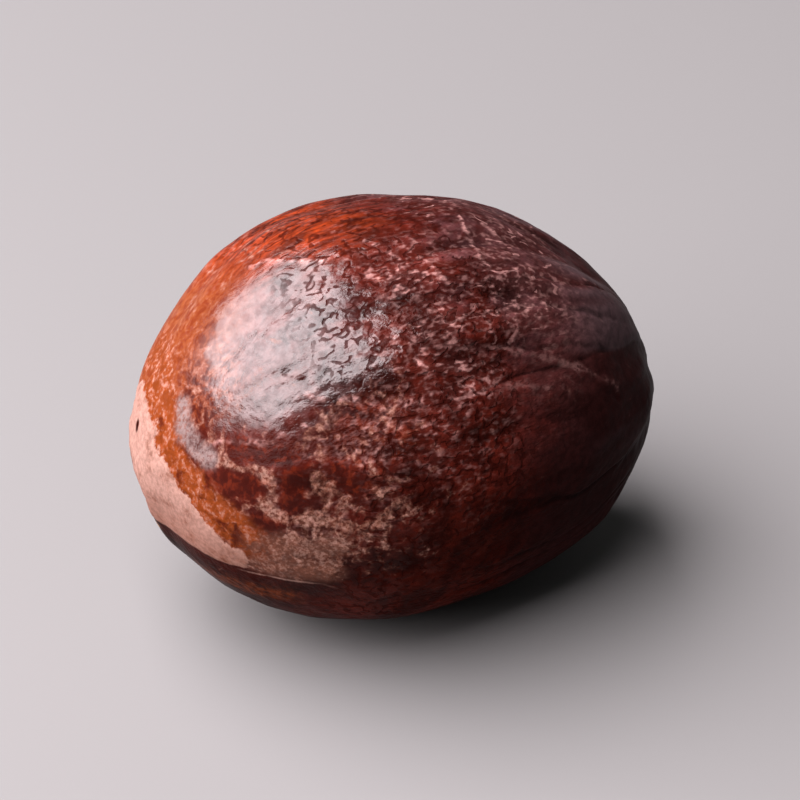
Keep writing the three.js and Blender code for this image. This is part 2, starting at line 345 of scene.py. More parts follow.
class SeedFields(Fields):
    """The patterns of the shell, from a position on it. All lengths are in millimetres."""

    def __init__(self, tree, position):
        super().__init__(tree)
        centred = self.vector("SUBTRACT", position, SEED_MIDDLE)
        turned = self.node("ShaderNodeVectorRotate", rotation_type="Y_AXIS")
        self.feed(turned.inputs["Vector"], centred)
        self.feed(turned.inputs["Angle"], -REST_PITCH)
        self.place = self.scaled(turned.outputs[0], 1 / MM)
        self.along, self.sideways, self.upwards = self.parts(self.place)

    def shifted(self, vector, size, reach, detail=2.0):
        """A place moved about by noise, by up to half of reach each way."""
        wander = self.vector("SUBTRACT", self.noise(vector, size, detail, colour=True), (0.5,) * 3)
        return self.vector("ADD", vector, self.scaled(wander, reach))

    @cached_property
    def ragged(self):
        """The place, moved about so that what is made from it has torn edges."""
        return self.shifted(self.place, size=1.2, reach=1.1, detail=3.0)

    @cached_property
    def edge_noise(self):
        """Noise about 0 for the film's edge and other borders."""
        return self.math("SUBTRACT", self.noise(self.place, BORDER_SIZE, 6.0, 0.62), 0.5)

    @cached_property
    def fibre(self):
        """Coordinates that are long along the seed, and close up at its ends as its fibres do."""
        x, y, z = self.parts(self.shifted(self.place, size=7.0, reach=3.2))
        ring = self.vector("NORMALIZE", self.joined(0.0, y, z))
        run = self.joined(self.math("MULTIPLY", x, FIBRE_STRETCH), 0.0, 0.0)
        return self.vector("ADD", self.scaled(ring, SEED_RADIUS), run)

    @cached_property
    def drawn_out(self):
        """The place, squeezed along the seed so that what is made from it is longer that way."""
        place = self.shifted(self.place, size=2.2, reach=1.2, detail=1.0)
        return self.vector("MULTIPLY", place, (0.50, 1.0, 1.0))

    @cached_property
    def rows(self):
        """0 in the valleys and 1 on the crests of the low rows that run along the seed."""
        return self.step(self.noise(self.fibre, ROW_SIZE, 2.0, 0.45), 0.38, 0.62)

    def pillows(self, place, size, detail=1.0):
        """Soft pillows with sharp seams: 0 in the seams and up to about 0.3 on the pillows."""
        return self.math("ABSOLUTE", self.math("SUBTRACT", self.noise(place, size, detail), 0.5))

    def dashes(self, place, size, width, share):
        """1 on short winding lines: the seams of pillows, broken up by a cloud."""
        off = self.pillows(place, size)
        broken = self.step(self.noise(self.place, 0.8 * size, 1.0), 1.0 - share, 1.05 - share)
        return self.math("MULTIPLY", self.step(off, width, 0.3 * width), broken)

    @cached_property
    def off_vein(self):
        """0 in the thin veins that run along the narrow half, and up to about 0.3 between them."""
        return self.pillows(self.fibre, VEIN_SIZE, 0.6)

    @cached_property
    def veined(self):
        """1 where the veins show."""
        ends = self.math("MULTIPLY", self.step(self.along, -3.0, 1.0), self.step(self.along, 12.5, 9.0))
        return self.math("MULTIPLY", ends, self.step(self.edge_noise, -0.10, 0.02, 0.2, 1.0))

    def near(self, middle, radius, softness, stretch=(1, 1, 1)):
        """1 within radius of a place, falling to 0 over softness."""
        apart = self.vector("MULTIPLY", self.vector("SUBTRACT", self.place, middle), stretch)
        return self.step(self.vector("LENGTH", apart), radius + softness, radius)

    def from_line(self, start, end, place=None):
        """The distance from a straight line between two places."""
        run = Vector(end) - Vector(start)
        offset = self.vector("SUBTRACT", place or self.ragged, start)
        reach = self.vector("DOT_PRODUCT", offset, run)
        share = self.math("DIVIDE", reach, run.length_squared, clamp=True)
        return self.vector("LENGTH", self.vector("SUBTRACT", offset, self.scaled(run, share)))

    def from_paths(self, paths, place=None):
        """The distance from the nearest of some chains of straight lines."""
        runs = [(start, end) for path in paths for start, end in zip(path, path[1:])]
        nearest = self.from_line(*runs[0], place)
        for start, end in runs[1:]:
            nearest = self.math("MINIMUM", nearest, self.from_line(start, end, place))
        return nearest

    def on_paths(self, paths, reach, softness, place=None):
        """1 within reach of some paths, falling to 0 over softness."""
        return self.step(self.from_paths(paths, place), reach + softness, reach)

    def inside(self, edge):
        """How far a place lies on the inner side of a plane."""
        point, inwards = edge
        return self.vector("DOT_PRODUCT", self.vector("SUBTRACT", self.place, point), inwards)

    def band(self, value, low, high, softness):
        """1 from low to high, falling to 0 over softness outside them."""
        rise = self.step(value, low - softness, low)
        return self.math("MULTIPLY", rise, self.step(value, high + softness, high))

    @cached_property
    def away(self):
        """How far outside the film's upper edge a place lies, and below 0 inside it."""
        within = self.math("SMOOTH_MIN", self.inside(FILM_FRONT_EDGE), self.inside(FILM_TOP_EDGE), 1.0)
        return self.math("SUBTRACT", self.math("MULTIPLY", self.edge_noise, 3.2), within)

    @cached_property
    def film_depth(self):
        """How far inside the lime film's edge a place lies, and below 0 outside it."""
        side = self.math("MULTIPLY_ADD", self.edge_noise, 5.0, self.inside(FILM_SIDE_EDGE))
        foot = self.math("MULTIPLY_ADD", self.edge_noise, 0.9, self.inside(FILM_FOOT_EDGE))
        top = self.math("MULTIPLY", self.away, -1.0)
        back = self.math("MULTIPLY_ADD", self.edge_noise, 11.0, self.inside(FILM_BACK_EDGE))
        ends = self.math("SMOOTH_MIN", side, back, 1.6)
        return self.math("SMOOTH_MIN", self.math("SMOOTH_MIN", top, foot, 0.5), ends, 2.4)

    @cached_property
    def pools(self):
        """1 on the glossy pools beside the film."""
        return self.on_paths(POOLS, 0.15, 0.95)

    @cached_property
    def dust_arms(self):
        """1 on the arms of dust between the pools."""
        return self.on_paths(DUST_ARMS, 0.05, 0.6)

    @cached_property
    def dust_patch(self):
        """1 on the even dust at the film's lower corner."""
        return self.on_paths(DUST_PATCHES, 0.4, 0.9)

    @cached_property
    def dotted(self):
        """1 where the dust lies in fine dots between its arms."""
        return self.near(DOTTED_PLACE, 2.6, 2.6, (0.8, 1.0, 1.0))

    @cached_property
    def amber_blobs(self):
        """1 on the brightest stretches of the amber rim."""
        return self.on_paths(AMBER_BLOBS, 0.3, 0.7)

    @cached_property
    def smear(self):
        """1 on the grey smear beside the amber rim."""
        return self.on_paths((SMEAR,), 0.25, 0.6)

    @cached_property
    def bounce_light_streak(self):
        """1 on the warm streak below the film, which is painted reflected light."""
        return self.on_paths((BOUNCE_LIGHT_STREAK,), 0.2, 1.2)

    @cached_property
    def lively(self):
        """1 over the middle, where the shell is most wrinkled."""
        return self.near(WRINKLED_MIDDLE, 5.0, 6.0, (0.7, 1.0, 1.0))

    @cached_property
    def calm(self):
        """1 where the broad shoulder is smooth."""
        return self.near(SMOOTH_SHOULDER, 4.0, 3.2)

    @cached_property
    def topside(self):
        """1 over the top and the back, 0 on the front."""
        return self.step(self.sideways, -4.0, -0.5)

    @cached_property
    def rays(self):
        """Noise from 0 to 1 that runs out from the hilum in rays."""
        way = self.vector("NORMALIZE", self.vector("SUBTRACT", self.place, HILUM))
        return self.noise(self.scaled(way, 3.0), 0.5, 2.0)

    @cached_property
    def star(self):
        """1 on the hilum's pale scar, whose edge is torn into rays."""
        reach = self.vector("LENGTH", self.vector("SUBTRACT", self.place, HILUM))
        edge = self.math("MULTIPLY_ADD", self.rays, -5.0, reach)
        return self.step(edge, 0.4, -0.4)

    @cached_property
    def pale_ridges(self):
        """1 on the raised ridges of the top, and less on the furrows' lips, which are painted pale as
        highlights.
        """
        place = self.shifted(self.place, size=0.9, reach=0.9)
        lips = self.on_paths((FURROW_LIP, SECOND_LIP), 0.02, 0.30, place)
        ridges = self.on_paths(PALE_RIDGES, 0.02, 0.18, place)
        return self.math("MAXIMUM", ridges, self.math("MULTIPLY", lips, 0.30))


class PaintFields(SeedFields):
    """The same patterns for the material, with the masks read from the mesh, and the paint's own masks."""

    def __init__(self, tree, position):
        super().__init__(tree, position)
        for name in MESH_MASKS:
            vars(self)[name] = self.node("ShaderNodeAttribute", attribute_name=name).outputs["Fac"]

    @cached_property
    def patches(self):
        """Noise from 0 to 1 for the patches that dust and flecks lie in."""
        return self.noise(self.ragged, PATCH_SIZE, 3.0, 0.6)

    @cached_property
    def powder(self):
        """Finer noise from 0 to 1 for mottles."""
        return self.noise(self.ragged, POWDER_SIZE, 2.0, 0.55)

    @cached_property
    def fine_powder(self):
        """The finest noise from 0 to 1, for grains."""
        return self.noise(self.place, FINE_POWDER_SIZE, 2.0, 0.6)

    @cached_property
    def fibres(self):
        """Fine fibres from 0 to 1 over the warm top, and an even 0.5 elsewhere."""
        fibres = self.step(self.noise(self.fibre, FIBRE_SIZE, 3.0, 0.6), 0.36, 0.64)
        fibrous = self.step(self.sideways, -2.5, 0.5)
        fibrous = self.math("MULTIPLY", fibrous, self.band(self.along, -5.0, 3.0, 6.5))
        return self.mixed(fibrous, 0.5, fibres)

    @cached_property
    def wavy_along(self):
        """The place along the seed, with waves in it for borders that run across the seed."""
        return self.math("MULTIPLY_ADD", self.edge_noise, 9.0, self.along)

    @cached_property
    def dusk(self):
        """Near 1 on the dull narrow half."""
        return self.step(self.wavy_along, -0.5, 5.0, 0.0, 0.9)

    @cached_property
    def rim(self):
        """1 on the amber rim beside the film, and less where brown mottles break it."""
        rim = self.math("MULTIPLY", self.band(self.away, -0.3, 1.6, 0.9), self.step(self.along, -11.0, -13.0))
        rim = self.math("MULTIPLY", rim, self.step(self.patches, 0.36, 0.50, 0.15, 1.0))
        blobs = self.math("MULTIPLY", self.amber_blobs, self.step(self.patches, 0.30, 0.44))
        return self.math("MAXIMUM", rim, blobs)

    @cached_property
    def dust(self):
        """How much dust lies on the shell, in arms and a patch beside the film."""
        beside = self.band(self.away, 0.6, 6.0, 2.0)
        beside = self.math("MULTIPLY", beside, self.band(self.along, -14.2, -7.0, 2.5))
        bias = self.math("MULTIPLY_ADD", beside, 0.03, self.step(self.along, 1.0, -9.0, -0.26, 0.05))
        bias = self.math("MULTIPLY_ADD", self.dust_arms, 0.26, bias)
        bias = self.math("MULTIPLY_ADD", self.dust_patch, 0.30, bias)
        bias = self.math("MULTIPLY_ADD", self.pools, -0.42, bias)
        bias = self.math("MULTIPLY_ADD", self.calm, -0.2, bias)
        bias = self.math("MULTIPLY_ADD", self.topside, -0.09, bias)
        bias = self.math("MULTIPLY_ADD", self.step(self.upwards, 1.0, -5.0), -0.08, bias)
        bias = self.math("MULTIPLY_ADD", self.step(self.upwards, -3.2, -4.8), -0.20, bias)
        blend = self.math("MULTIPLY_ADD", self.math("SUBTRACT", self.patches, 0.5), 0.9, self.powder)
        dust = self.step(self.math("ADD", blend, bias), 0.47, 0.84)
        dust = self.math("MULTIPLY", dust, self.step(self.fine_powder, 0.32, 0.56, 0.3, 1.0))
        dust = self.math("MAXIMUM", dust, self.math("MULTIPLY", self.dust_patch, 0.72))
        return self.math("MULTIPLY", dust, self.mixed(self.rim, 1.0, 0.15))

    @cached_property
    def flecks_and_glints(self):
        """How much the shell is made pale: rows of spots over the middle that are partly wear and partly
        painted glints, more of them higher up, scratches on the top, and a painted highlight on the ridges.
        """
        middle = self.math("MULTIPLY", self.lively, self.mixed(self.rows, 0.18, 1.0))
        top = self.math("MULTIPLY", self.step(self.upwards, 5.5, 10.0), self.step(self.along, -1.5, 2.5))
        share = self.math("MAXIMUM", middle, self.math("MULTIPLY", top, 0.28))
        share = self.math("MAXIMUM", share, self.mixed(self.dotted, 0.10, 0.95))
        # More spots higher up, where they stand for painted glints.
        share = self.math("MULTIPLY", share, self.step(self.upwards, 1.5, 8.0, 0.15, 1.1))
        broad = self.step(self.along, 2.5, -1.5, 0.10, 1.0)
        share = self.math("MULTIPLY", share, self.math("MAXIMUM", broad, top))
        rough = self.math("MULTIPLY", self.mixed(self.pools, 1.0, 0.12), self.mixed(self.calm, 1.0, 0.0))
        share = self.math("MULTIPLY", share, rough)
        share = self.math("MULTIPLY", share, self.step(self.patches, 0.36, 0.58, 0.25, 1.0))
        spots = self.noise(self.vector("MULTIPLY", self.place, (0.6, 1.0, 1.0)), SPOT_SIZE, 1.0, 0.5)
        flecks_and_glints = self.math("MULTIPLY", self.step(spots, 0.45, 0.80, 0.03, 1.0), share)
        elsewhere = self.vector("ADD", self.drawn_out, (7.0, 3.0, 5.0))
        scratches = self.dashes(elsewhere, SCRATCH_SIZE, width=0.035, share=0.42)
        scratches = self.math("MULTIPLY", scratches, self.math("MULTIPLY", top, 0.5))
        # A painted highlight along the raised ridges and the furrows' lips.
        rubbed_and_glinting = self.math("MULTIPLY", self.pale_ridges, self.step(spots, 0.34, 0.58, 0.1, 0.65))
        return self.math("MAXIMUM", self.math("MAXIMUM", flecks_and_glints, scratches), rubbed_and_glinting)

    @cached_property
    def creases(self):
        """1 in short creases, mostly where the shoulder turns into the wrinkled middle, and in the crack."""
        place = self.vector("MULTIPLY", self.place, (0.7, 1.0, 1.0))
        creases = self.dashes(place, CREASE_SIZE, width=0.085, share=0.54)
        creases = self.math("MULTIPLY", creases, self.band(self.along, -7.0, 1.0, 2.8))
        return self.math("MAXIMUM", creases, self.on_paths((CRACK,), 0.06, 0.16))

    @cached_property
    def film(self):
        """1 on the lime film."""
        return self.step(self.film_depth, 0.0, 0.14)

    @cached_property
    def dull(self):
        """1 where lime, scar or dust hides the shell's shine."""
        return self.math("MAXIMUM", self.math("MAXIMUM", self.film, self.star), self.dust)


def new_geometry_tree(name, sizes):
    """A geometry tree with a Geometry input and output, and an input for each named size."""
    tree = bpy.data.node_groups.new(name, "GeometryNodeTree")
    tree.is_modifier = True
    tree.interface.new_socket(name="Geometry", in_out="INPUT", socket_type="NodeSocketGeometry")
    for label in sizes:
        tree.interface.new_socket(name=label, in_out="INPUT", socket_type="NodeSocketFloat")
    tree.interface.new_socket(name="Geometry", in_out="OUTPUT", socket_type="NodeSocketGeometry")
    return tree


def finish_tree(fields, geometry, material):
    """Ends a tree in Realize Instances and Set Material."""
    realized = fields.node("GeometryNodeRealizeInstances")
    fields.feed(realized.inputs[0], geometry)
    dressed = fields.node("GeometryNodeSetMaterial")
    fields.feed(dressed.inputs["Geometry"], realized.outputs[0])
    dressed.inputs["Material"].default_value = material
    ending = fields.node("NodeGroupOutput")
    fields.feed(ending.inputs[0], dressed.outputs[0])


def baked_piece(name, mesh, tree, values):
    """Runs a geometry tree on a mesh and returns the result as a plain mesh object at the origin."""
    carrier = bpy.data.objects.new(name + "_carrier", mesh)
    bpy.context.scene.collection.objects.link(carrier)
    modifier = carrier.modifiers.new(tree.name, "NODES")
    modifier.node_group = tree
    sockets = {item.name: item.identifier for item in tree.interface.items_tree if item.in_out == "INPUT"}
    for label, value in values.items():
        modifier[sockets[label]] = value
    evaluated = carrier.evaluated_get(bpy.context.evaluated_depsgraph_get())
    result = bpy.data.meshes.new_from_object(evaluated)
    carrier.modifiers.remove(modifier)
    bpy.data.objects.remove(carrier)
    result.name = name
    piece = bpy.data.objects.new(name, result)
    bpy.context.scene.collection.objects.link(piece)
    return piece


def merged_copy(node):
    """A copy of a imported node's mesh, with its loose triangles joined."""
    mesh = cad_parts[node].data.copy()
    mesh.materials.clear()
    work = bmesh.new()
    work.from_mesh(mesh)
    bmesh.ops.remove_doubles(work, verts=work.verts, dist=MERGE_DISTANCE * MM)
    work.to_mesh(mesh)
    work.free()
    for attribute in [a for a in mesh.attributes if a.name.startswith(("sharp", "custom"))]:
        mesh.attributes.remove(attribute)
    return mesh


def wrinkled(f, given, film):
    """The height of the wrinkles and of the broad swells below them."""
    bare = f.math("MULTIPLY", f.mixed(film, 1.0, 0.15), f.mixed(f.pools, 1.0, 0.3))
    bare = f.math("MULTIPLY", bare, f.mixed(f.calm, 1.0, 0.1))
    bare = f.math("MULTIPLY", bare, f.mixed(f.lively, 0.4, 1.0))
    bare = f.math("MULTIPLY", bare, f.mixed(f.topside, 1.0, 0.5))
    wrinkles = f.math("SUBTRACT", f.pillows(f.drawn_out, given["Wrinkle size"]), 0.1)
    wrinkles = f.math("MULTIPLY", f.math("MULTIPLY", wrinkles, given["Wrinkle depth"]), bare)
    swells = f.math("MULTIPLY", f.math("SUBTRACT", f.noise(f.place, SWELL_SIZE, 1.0), 0.5), SWELL_HEIGHT)
    swells = f.math("MULTIPLY", swells, f.mixed(f.calm, f.step(f.along, -14.0, -10.0), 0.25))
    return f.math("ADD", wrinkles, swells)


def folded(f, given):
    """The height of the folds, the low rows and the veins, which all run along the seed."""
    folds = f.math("SUBTRACT", f.noise(f.fibre, FOLD_SIZE, 1.0), 0.5)
    reach = f.step(f.along, 2.0, 9.0, 0.3, 1.2)
    folds = f.math("MULTIPLY", f.math("MULTIPLY", folds, given["Fold height"]), reach)
    folds = f.math("MULTIPLY", folds, f.step(f.along, 14.6, 12.0))
    rows = f.math("MULTIPLY", f.math("SUBTRACT", f.rows, 0.5), f.math("MULTIPLY", f.lively, ROW_HEIGHT))
    veins = f.math("MULTIPLY", f.step(f.off_vein, 0.045, 0.0), f.math("MULTIPLY", f.veined, -VEIN_DEPTH))
    return f.math("ADD", folds, f.math("ADD", rows, veins))


def crumbled(f, given):
    """The height of the crumbly grain on the hilum."""
    grain = f.math("SUBTRACT", f.noise(f.place, CRUMB_SIZE, 3.0, 0.6), 0.5)
    grain = f.math("MULTIPLY_ADD", f.rays, 0.8, f.math("SUBTRACT", grain, 0.6))
    return f.math("MULTIPLY", f.math("MULTIPLY", grain, given["Scar roughness"]), f.near(HILUM, 2.0, 1.8))


def marked(f, given, film):
    """The height of the crack, the furrow's foot, the pale ridges and the film."""
    marks = f.math("MULTIPLY", f.on_paths((CRACK,), 0.0, 0.22), -CRACK_DEPTH)
    marks = f.math("MULTIPLY_ADD", f.on_paths((FURROW_FOOT,), 0.05, 0.40), -FURROW_FOOT_DEPTH, marks)
    marks = f.math("MULTIPLY_ADD", f.pale_ridges, RIDGE_HEIGHT, marks)
    return f.math("MULTIPLY_ADD", film, given["Film thickness"], marks)


def shell_tree(material):
    """Refines the seed's mesh, stores the material's masks on it and raises all its relief."""
    tree = new_geometry_tree("Nutmeg shell", SHELL_SIZES)
    position = tree.nodes.new("GeometryNodeInputPosition").outputs[0]
    f = SeedFields(tree, position)
    given = f.node("NodeGroupInput").outputs

    finer = f.node("GeometryNodeSubdivisionSurface")
    f.feed(finer.inputs["Mesh"], given["Geometry"])
    f.feed(finer.inputs["Level"], REFINEMENT)

    film = f.step(f.film_depth, -0.1, 0.25)
    waves = f.math("ADD", wrinkled(f, given, film), folded(f, given))
    height = f.math("ADD", waves, f.math("ADD", crumbled(f, given), marked(f, given, film)))
    sunk = f.step(f.upwards, -11.5, -10.5, 0.0, SINK)
    height = f.math("SUBTRACT", height, sunk)

    painted = finer.outputs[0]
    for name in MESH_MASKS:
        stored = f.node("GeometryNodeStoreNamedAttribute", data_type="FLOAT", domain="POINT")
        stored.inputs["Name"].default_value = name
        f.feed(stored.inputs["Geometry"], painted)
        f.feed(stored.inputs["Value"], getattr(f, name))
        painted = stored.outputs[0]

    normal = f.node("GeometryNodeInputNormal").outputs[0]
    lifted = f.node("GeometryNodeSetPosition")
    f.feed(lifted.inputs["Geometry"], painted)
    f.feed(lifted.inputs["Offset"], f.scaled(normal, f.math("MULTIPLY", height, MM)))

    # Nothing reaches below the table.
    x, y, z = f.parts(position)
    rested = f.node("GeometryNodeSetPosition")
    f.feed(rested.inputs["Geometry"], lifted.outputs[0])
    f.feed(rested.inputs["Position"], f.joined(x, y, f.math("MAXIMUM", z, 0.0)))

    smooth = f.node("GeometryNodeSetShadeSmooth")
    f.feed(smooth.inputs[0], rested.outputs[0])
    finish_tree(f, smooth.outputs[0], material)
    return tree


def warm_cover(f):
    """How warm the shell is: most over the top and the back of the broad half, between its fibres."""
    border = f.math("MULTIPLY_ADD", f.edge_noise, 7.0, f.sideways)
    warm = f.math("MULTIPLY", f.step(border, -1.6, 1.2), f.step(f.wavy_along, 1.5, -7.5))
    warm = f.math("MULTIPLY", warm, f.near(WARM_PATCH, 9.0, 5.0, (0.8, 1.0, 1.0)))
    warm = f.math("MULTIPLY", warm, f.mixed(f.fibres, 0.40, 1.0))
    return f.math("MULTIPLY", warm, f.mixed(f.calm, 1.0, 0.5))


def painted_shade_and_grain(f):
    """How light the bare shell is: darker between its fibres, and painted light and shade: darker low down,
    in its veins and between its rows, lighter on the top of the narrow half and on the rows' crests, darker
    under the broad end and lighter under the tip.
    """
    # Painted shade low down, and painted light on the top of the narrow half.
    broad_half = f.step(f.upwards, -3.0, 4.0, 0.72, 1.0)
    narrow_half = f.step(f.upwards, 1.0, 10.0, 0.5, 1.15)
    light = f.mixed(f.dusk, broad_half, narrow_half)
    light = f.math("MULTIPLY", light, f.mixed(f.fibres, 0.66, 1.30))
    # Painted shade in the valleys of the rows and painted light on their crests.
    light = f.math("MULTIPLY", light, f.mixed(f.lively, 1.0, f.mixed(f.rows, 0.6, 1.5)))
    # Painted shade in the veins.
    veins = f.math("MULTIPLY", f.step(f.off_vein, 0.035, 0.005), f.veined)
    light = f.math("MULTIPLY", light, f.mixed(veins, 1.0, 0.45))
    # Painted shade under the broad end, and painted light reflected up under the tip.
    underside = f.step(f.along, -11.5, -6.5, 0.5, 1.5)
    return f.math("MULTIPLY", light, f.step(f.upwards, -3.5, -6.0, 1.0, underside))


def bare_shell(f, look):
    """The colour of the bare shell: brown clouds, a warm top, a dull narrow half and fine fibres, with a
    painted sheen on the folds of the narrow end and painted light and shade over all.
    """
    clouds = f.step(f.noise(f.ragged, CLOUD_SIZE, 4.0, 0.62), 0.40, 0.58)
    clouds = f.math("MAXIMUM", clouds, f.step(f.along, -9.0, -12.5))
    clouds = f.mixed(f.near(HILUM, 4.0, 2.5), clouds, f.step(f.rays, 0.38, 0.58))
    shell = f.tinted(clouds, look.dark_brown, look.red_brown)

    warm = warm_cover(f)
    gold = f.math("MULTIPLY", f.step(f.along, -7.5, -11.5), f.step(f.powder, 0.34, 0.60, 0.35, 1.0))
    shell = f.tinted(warm, shell, f.tinted(gold, look.warm_orange, look.golden))
    glow = f.near(GLOW, 1.0, 2.0, (0.8, 1.0, 1.0))
    glow = f.math("MULTIPLY", glow, f.step(f.powder, 0.40, 0.66, 0.0, 0.20))
    shell = f.tinted(glow, shell, look.warm_orange)
    blush = f.math("MULTIPLY", f.near(BLUSH, 1.3, 1.4, (1.0, 0.6, 0.7)), 0.35)
    blush = f.math("MULTIPLY", blush, f.step(f.powder, 0.38, 0.60, 0.2, 1.5))
    shell = f.tinted(blush, shell, look.amber)

    shell = f.tinted(f.dusk, shell, look.dusk_brown)
    mauve = f.noise(f.vector("ADD", f.drawn_out, (3.0, 8.0, 2.0)), MAUVE_SIZE, 4.0, 0.62)
    mauve = f.step(mauve, 0.46, 0.62, 0.0, 0.55)
    top = f.math("MULTIPLY", f.step(f.along, -2.5, 2.0), f.step(f.upwards, 4.5, 9.5))
    shell = f.tinted(f.math("MULTIPLY", mauve, top), shell, look.mauve)
    # A painted sheen on the crests of the folds near the tip, on their upper side.
    crests = f.step(f.noise(f.fibre, FOLD_SIZE, 1.0), 0.46, 0.62)
    crests = f.math("MULTIPLY", crests, f.step(f.along, 5.0, 10.0, 0.0, 0.9))
    crests = f.math("MULTIPLY", crests, f.step(f.upwards, -2.0, 4.0))
    shell = f.tinted(crests, shell, look.sheen)
    # Painted light and shade over the bare shell.
    return f.shaded(shell, painted_shade_and_grain(f))


def amber_rim(f, look, colour):
    """Adds the amber rim beside the film, with pale specks in it and round the blush."""
    colour = f.tinted(f.rim, colour, look.amber)
    specks = f.math("MAXIMUM", f.rim, f.math("MULTIPLY", f.near(BLUSH, 1.2, 1.2), 0.35))
    specks = f.math("MULTIPLY", specks, f.step(f.upwards, 0.0, 3.5, 0.45, 0.75))
    grains = f.math("ADD", f.math("SUBTRACT", f.powder, 0.5), f.fine_powder)
    specks = f.math("MULTIPLY", specks, f.step(grains, 0.46, 0.90))
    return f.tinted(specks, colour, look.lime)


def painted_shoulder_highlight(f, look, colour):
    """Adds a pink painted highlight in clouds over the shoulder, under the wax's own reflection."""
    haze = f.near(SMOOTH_SHOULDER, 3.4, 2.4)
    haze = f.math("MULTIPLY", haze, f.step(f.noise(f.ragged, 0.8, 4.0, 0.6), 0.36, 0.64))
    return f.tinted(f.math("MULTIPLY", haze, 0.18), colour, look.haze)


def dust_flecks_and_glints(f, look, colour):
    """Adds the dust, which is paler where it lies thick, and the pale flecks, partly wear and partly painted
    glints and highlights.
    """
    cover = f.math("MULTIPLY", f.dust, f.step(f.along, 6.0, -6.0, 0.4, 0.9))
    paleness = f.math("MULTIPLY_ADD", f.math("SUBTRACT", f.patches, 0.5), 0.6, f.fine_powder)
    dust = f.tinted(f.step(paleness, 0.38, 0.90, 0.0, 0.8), look.dust, look.lime)
    colour = f.tinted(cover, colour, dust)
    return f.tinted(f.flecks_and_glints, colour, look.fleck_and_glint)


def film_marks(f, look, colour):
    """Adds the grey smear, the warm streak below the film, which is painted reflected light, and the pale
    line at its foot.
    """
    smear = f.math("MULTIPLY", f.smear, f.step(f.powder, 0.24, 0.44))
    smear = f.math("MULTIPLY", smear, f.step(f.fine_powder, 0.3, 0.6, 0.4, 0.95))
    colour = f.tinted(smear, colour, look.smear)
    # The warm streak: painted reflected light from below.
    streak = f.math("MULTIPLY", f.bounce_light_streak, f.step(f.powder, 0.32, 0.66, 0.12, 0.5))
    colour = f.tinted(streak, colour, look.amber)
    line = f.on_paths((FOOT_LINE,), 0.01, 0.13, f.place)
    line = f.math("MULTIPLY", line, f.step(f.along, -7.6, -11.0, 0.0, 0.7))
    line = f.math("MULTIPLY", line, f.step(f.powder, 0.3, 0.5, 0.4, 1.0))
    return f.tinted(line, colour, look.lime)


def crease_shade_and_pools(f, look, colour):
    """Adds painted shade in the creases and the crack, and darkens the pools, but for a few warm spots."""
    # Painted shade in the creases and the crack.
    colour = f.tinted(f.math("MULTIPLY", f.creases, 0.7), colour, look.dark_brown)
    warm_spots = f.math("MULTIPLY", f.pools, f.step(f.powder, 0.46, 0.66, 0.0, 0.30))
    colour = f.tinted(warm_spots, colour, look.warm_orange)
    sunk = f.math("MULTIPLY", f.pools, f.math("MULTIPLY_ADD", f.dust, -0.45, 0.45))
    return f.tinted(sunk, colour, look.dark_brown)


def lime_film(f, look, colour):
    """Mottles the shell, and adds the lime film, which is more yellow at its foot, and its dark spot."""
    lime = f.step(f.noise(f.place, 1.2, 5.0, 0.7), 0.22, 0.55)
    lime = f.tinted(lime, look.dust, look.lime)
    lime = f.tinted(f.step(f.upwards, -1.0, -4.0, 0.0, 0.3), lime, look.amber)
    lime = f.shaded(lime, f.step(f.fine_powder, 0.32, 0.68, 0.82, 1.10))
    colour = f.shaded(colour, f.step(f.powder, 0.3, 0.7, 0.8, 1.2))
    colour = f.tinted(f.math("MULTIPLY", f.film, 0.97), colour, lime)
    return f.tinted(f.near(FILM_SPOT, 0.15, 0.15, (1.0, 1.0, 0.5)), colour, look.dark_brown)


def hilum_scar(f, look, colour):
    """Adds the hilum's pale scar, with its dark crumbly pit."""
    scar = f.tinted(f.step(f.fine_powder, 0.35, 0.6), look.dust, look.scar)
    colour = f.tinted(f.math("MULTIPLY", f.star, 0.9), colour, scar)
    crumbs = f.math("MULTIPLY", f.near(PIT, 0.6, 0.7), f.step(f.fine_powder, 0.3, 0.5, 0.3, 0.9))
    return f.tinted(crumbs, colour, look.pit)


def fine_relief(f, look):
    """Relief that is finer than the mesh, in millimetres: leathery pebbles, creases and fibres."""
    pebbles = f.noise(f.vector("MULTIPLY", f.place, (0.5, 1.0, 1.0)), look.pebble_size, 3.0, 0.6)
    relief = f.math("MULTIPLY_ADD", f.fibres, FIBRE_HEIGHT, f.math("MULTIPLY", pebbles, PEBBLE_HEIGHT))
    return f.math("MULTIPLY_ADD", f.creases, -CREASE_DEPTH, relief)


def relief_strength(f):
    """How strongly the fine relief shows."""
    strength = f.math("MULTIPLY", f.mixed(f.lively, 0.55, 0.9), f.mixed(f.calm, 1.0, 0.5))
    strength = f.math("MULTIPLY", strength, f.mixed(f.topside, 1.0, 0.6))
    strength = f.math("MULTIPLY", strength, f.step(f.along, 10.0, 4.0, 0.35, 1.0))
    covered = f.math("MULTIPLY", f.mixed(f.film, 1.0, 0.25), f.mixed(f.pools, 1.0, 0.4))
    return f.math("MULTIPLY", strength, covered)


